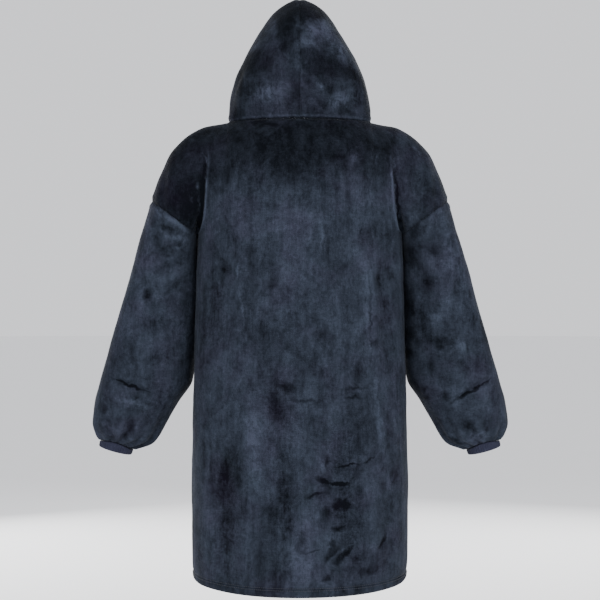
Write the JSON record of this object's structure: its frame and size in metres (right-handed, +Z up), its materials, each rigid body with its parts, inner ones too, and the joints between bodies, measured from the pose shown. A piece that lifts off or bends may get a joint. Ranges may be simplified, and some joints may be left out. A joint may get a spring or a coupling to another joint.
{
  "type": "wearable blanket hoodie",
  "caption": "Knee-length plush pullover in the hollow shape of wear, with dropped shoulders, wide sleeves gathered into short rib cuffs, an open hood and a stitched hem",
  "frame": {"origin": "midway between the shoulders at the height of the neck seam, where a wearer carries the garment", "axes": "+Z up towards the crown of the hood, +Y towards the wearer's back, +X towards the wearer's left"},
  "size_m": [0.8414, 0.377, 1.1642],
  "materials": {
    "plush": "short dense pile, matt with a soft sheen where the nap is brushed",
    "rib_knit": "fine matt rib knit"
  },
  "bodies": {
    "root": {"back_panel": "plush", "front_panel": "plush", "sleeve_left": "plush", "sleeve_right": "plush", "cuff_left": "rib_knit", "cuff_right": "rib_knit", "hood_left": "plush", "hood_right": "plush"}
  },
  "joints": []
}
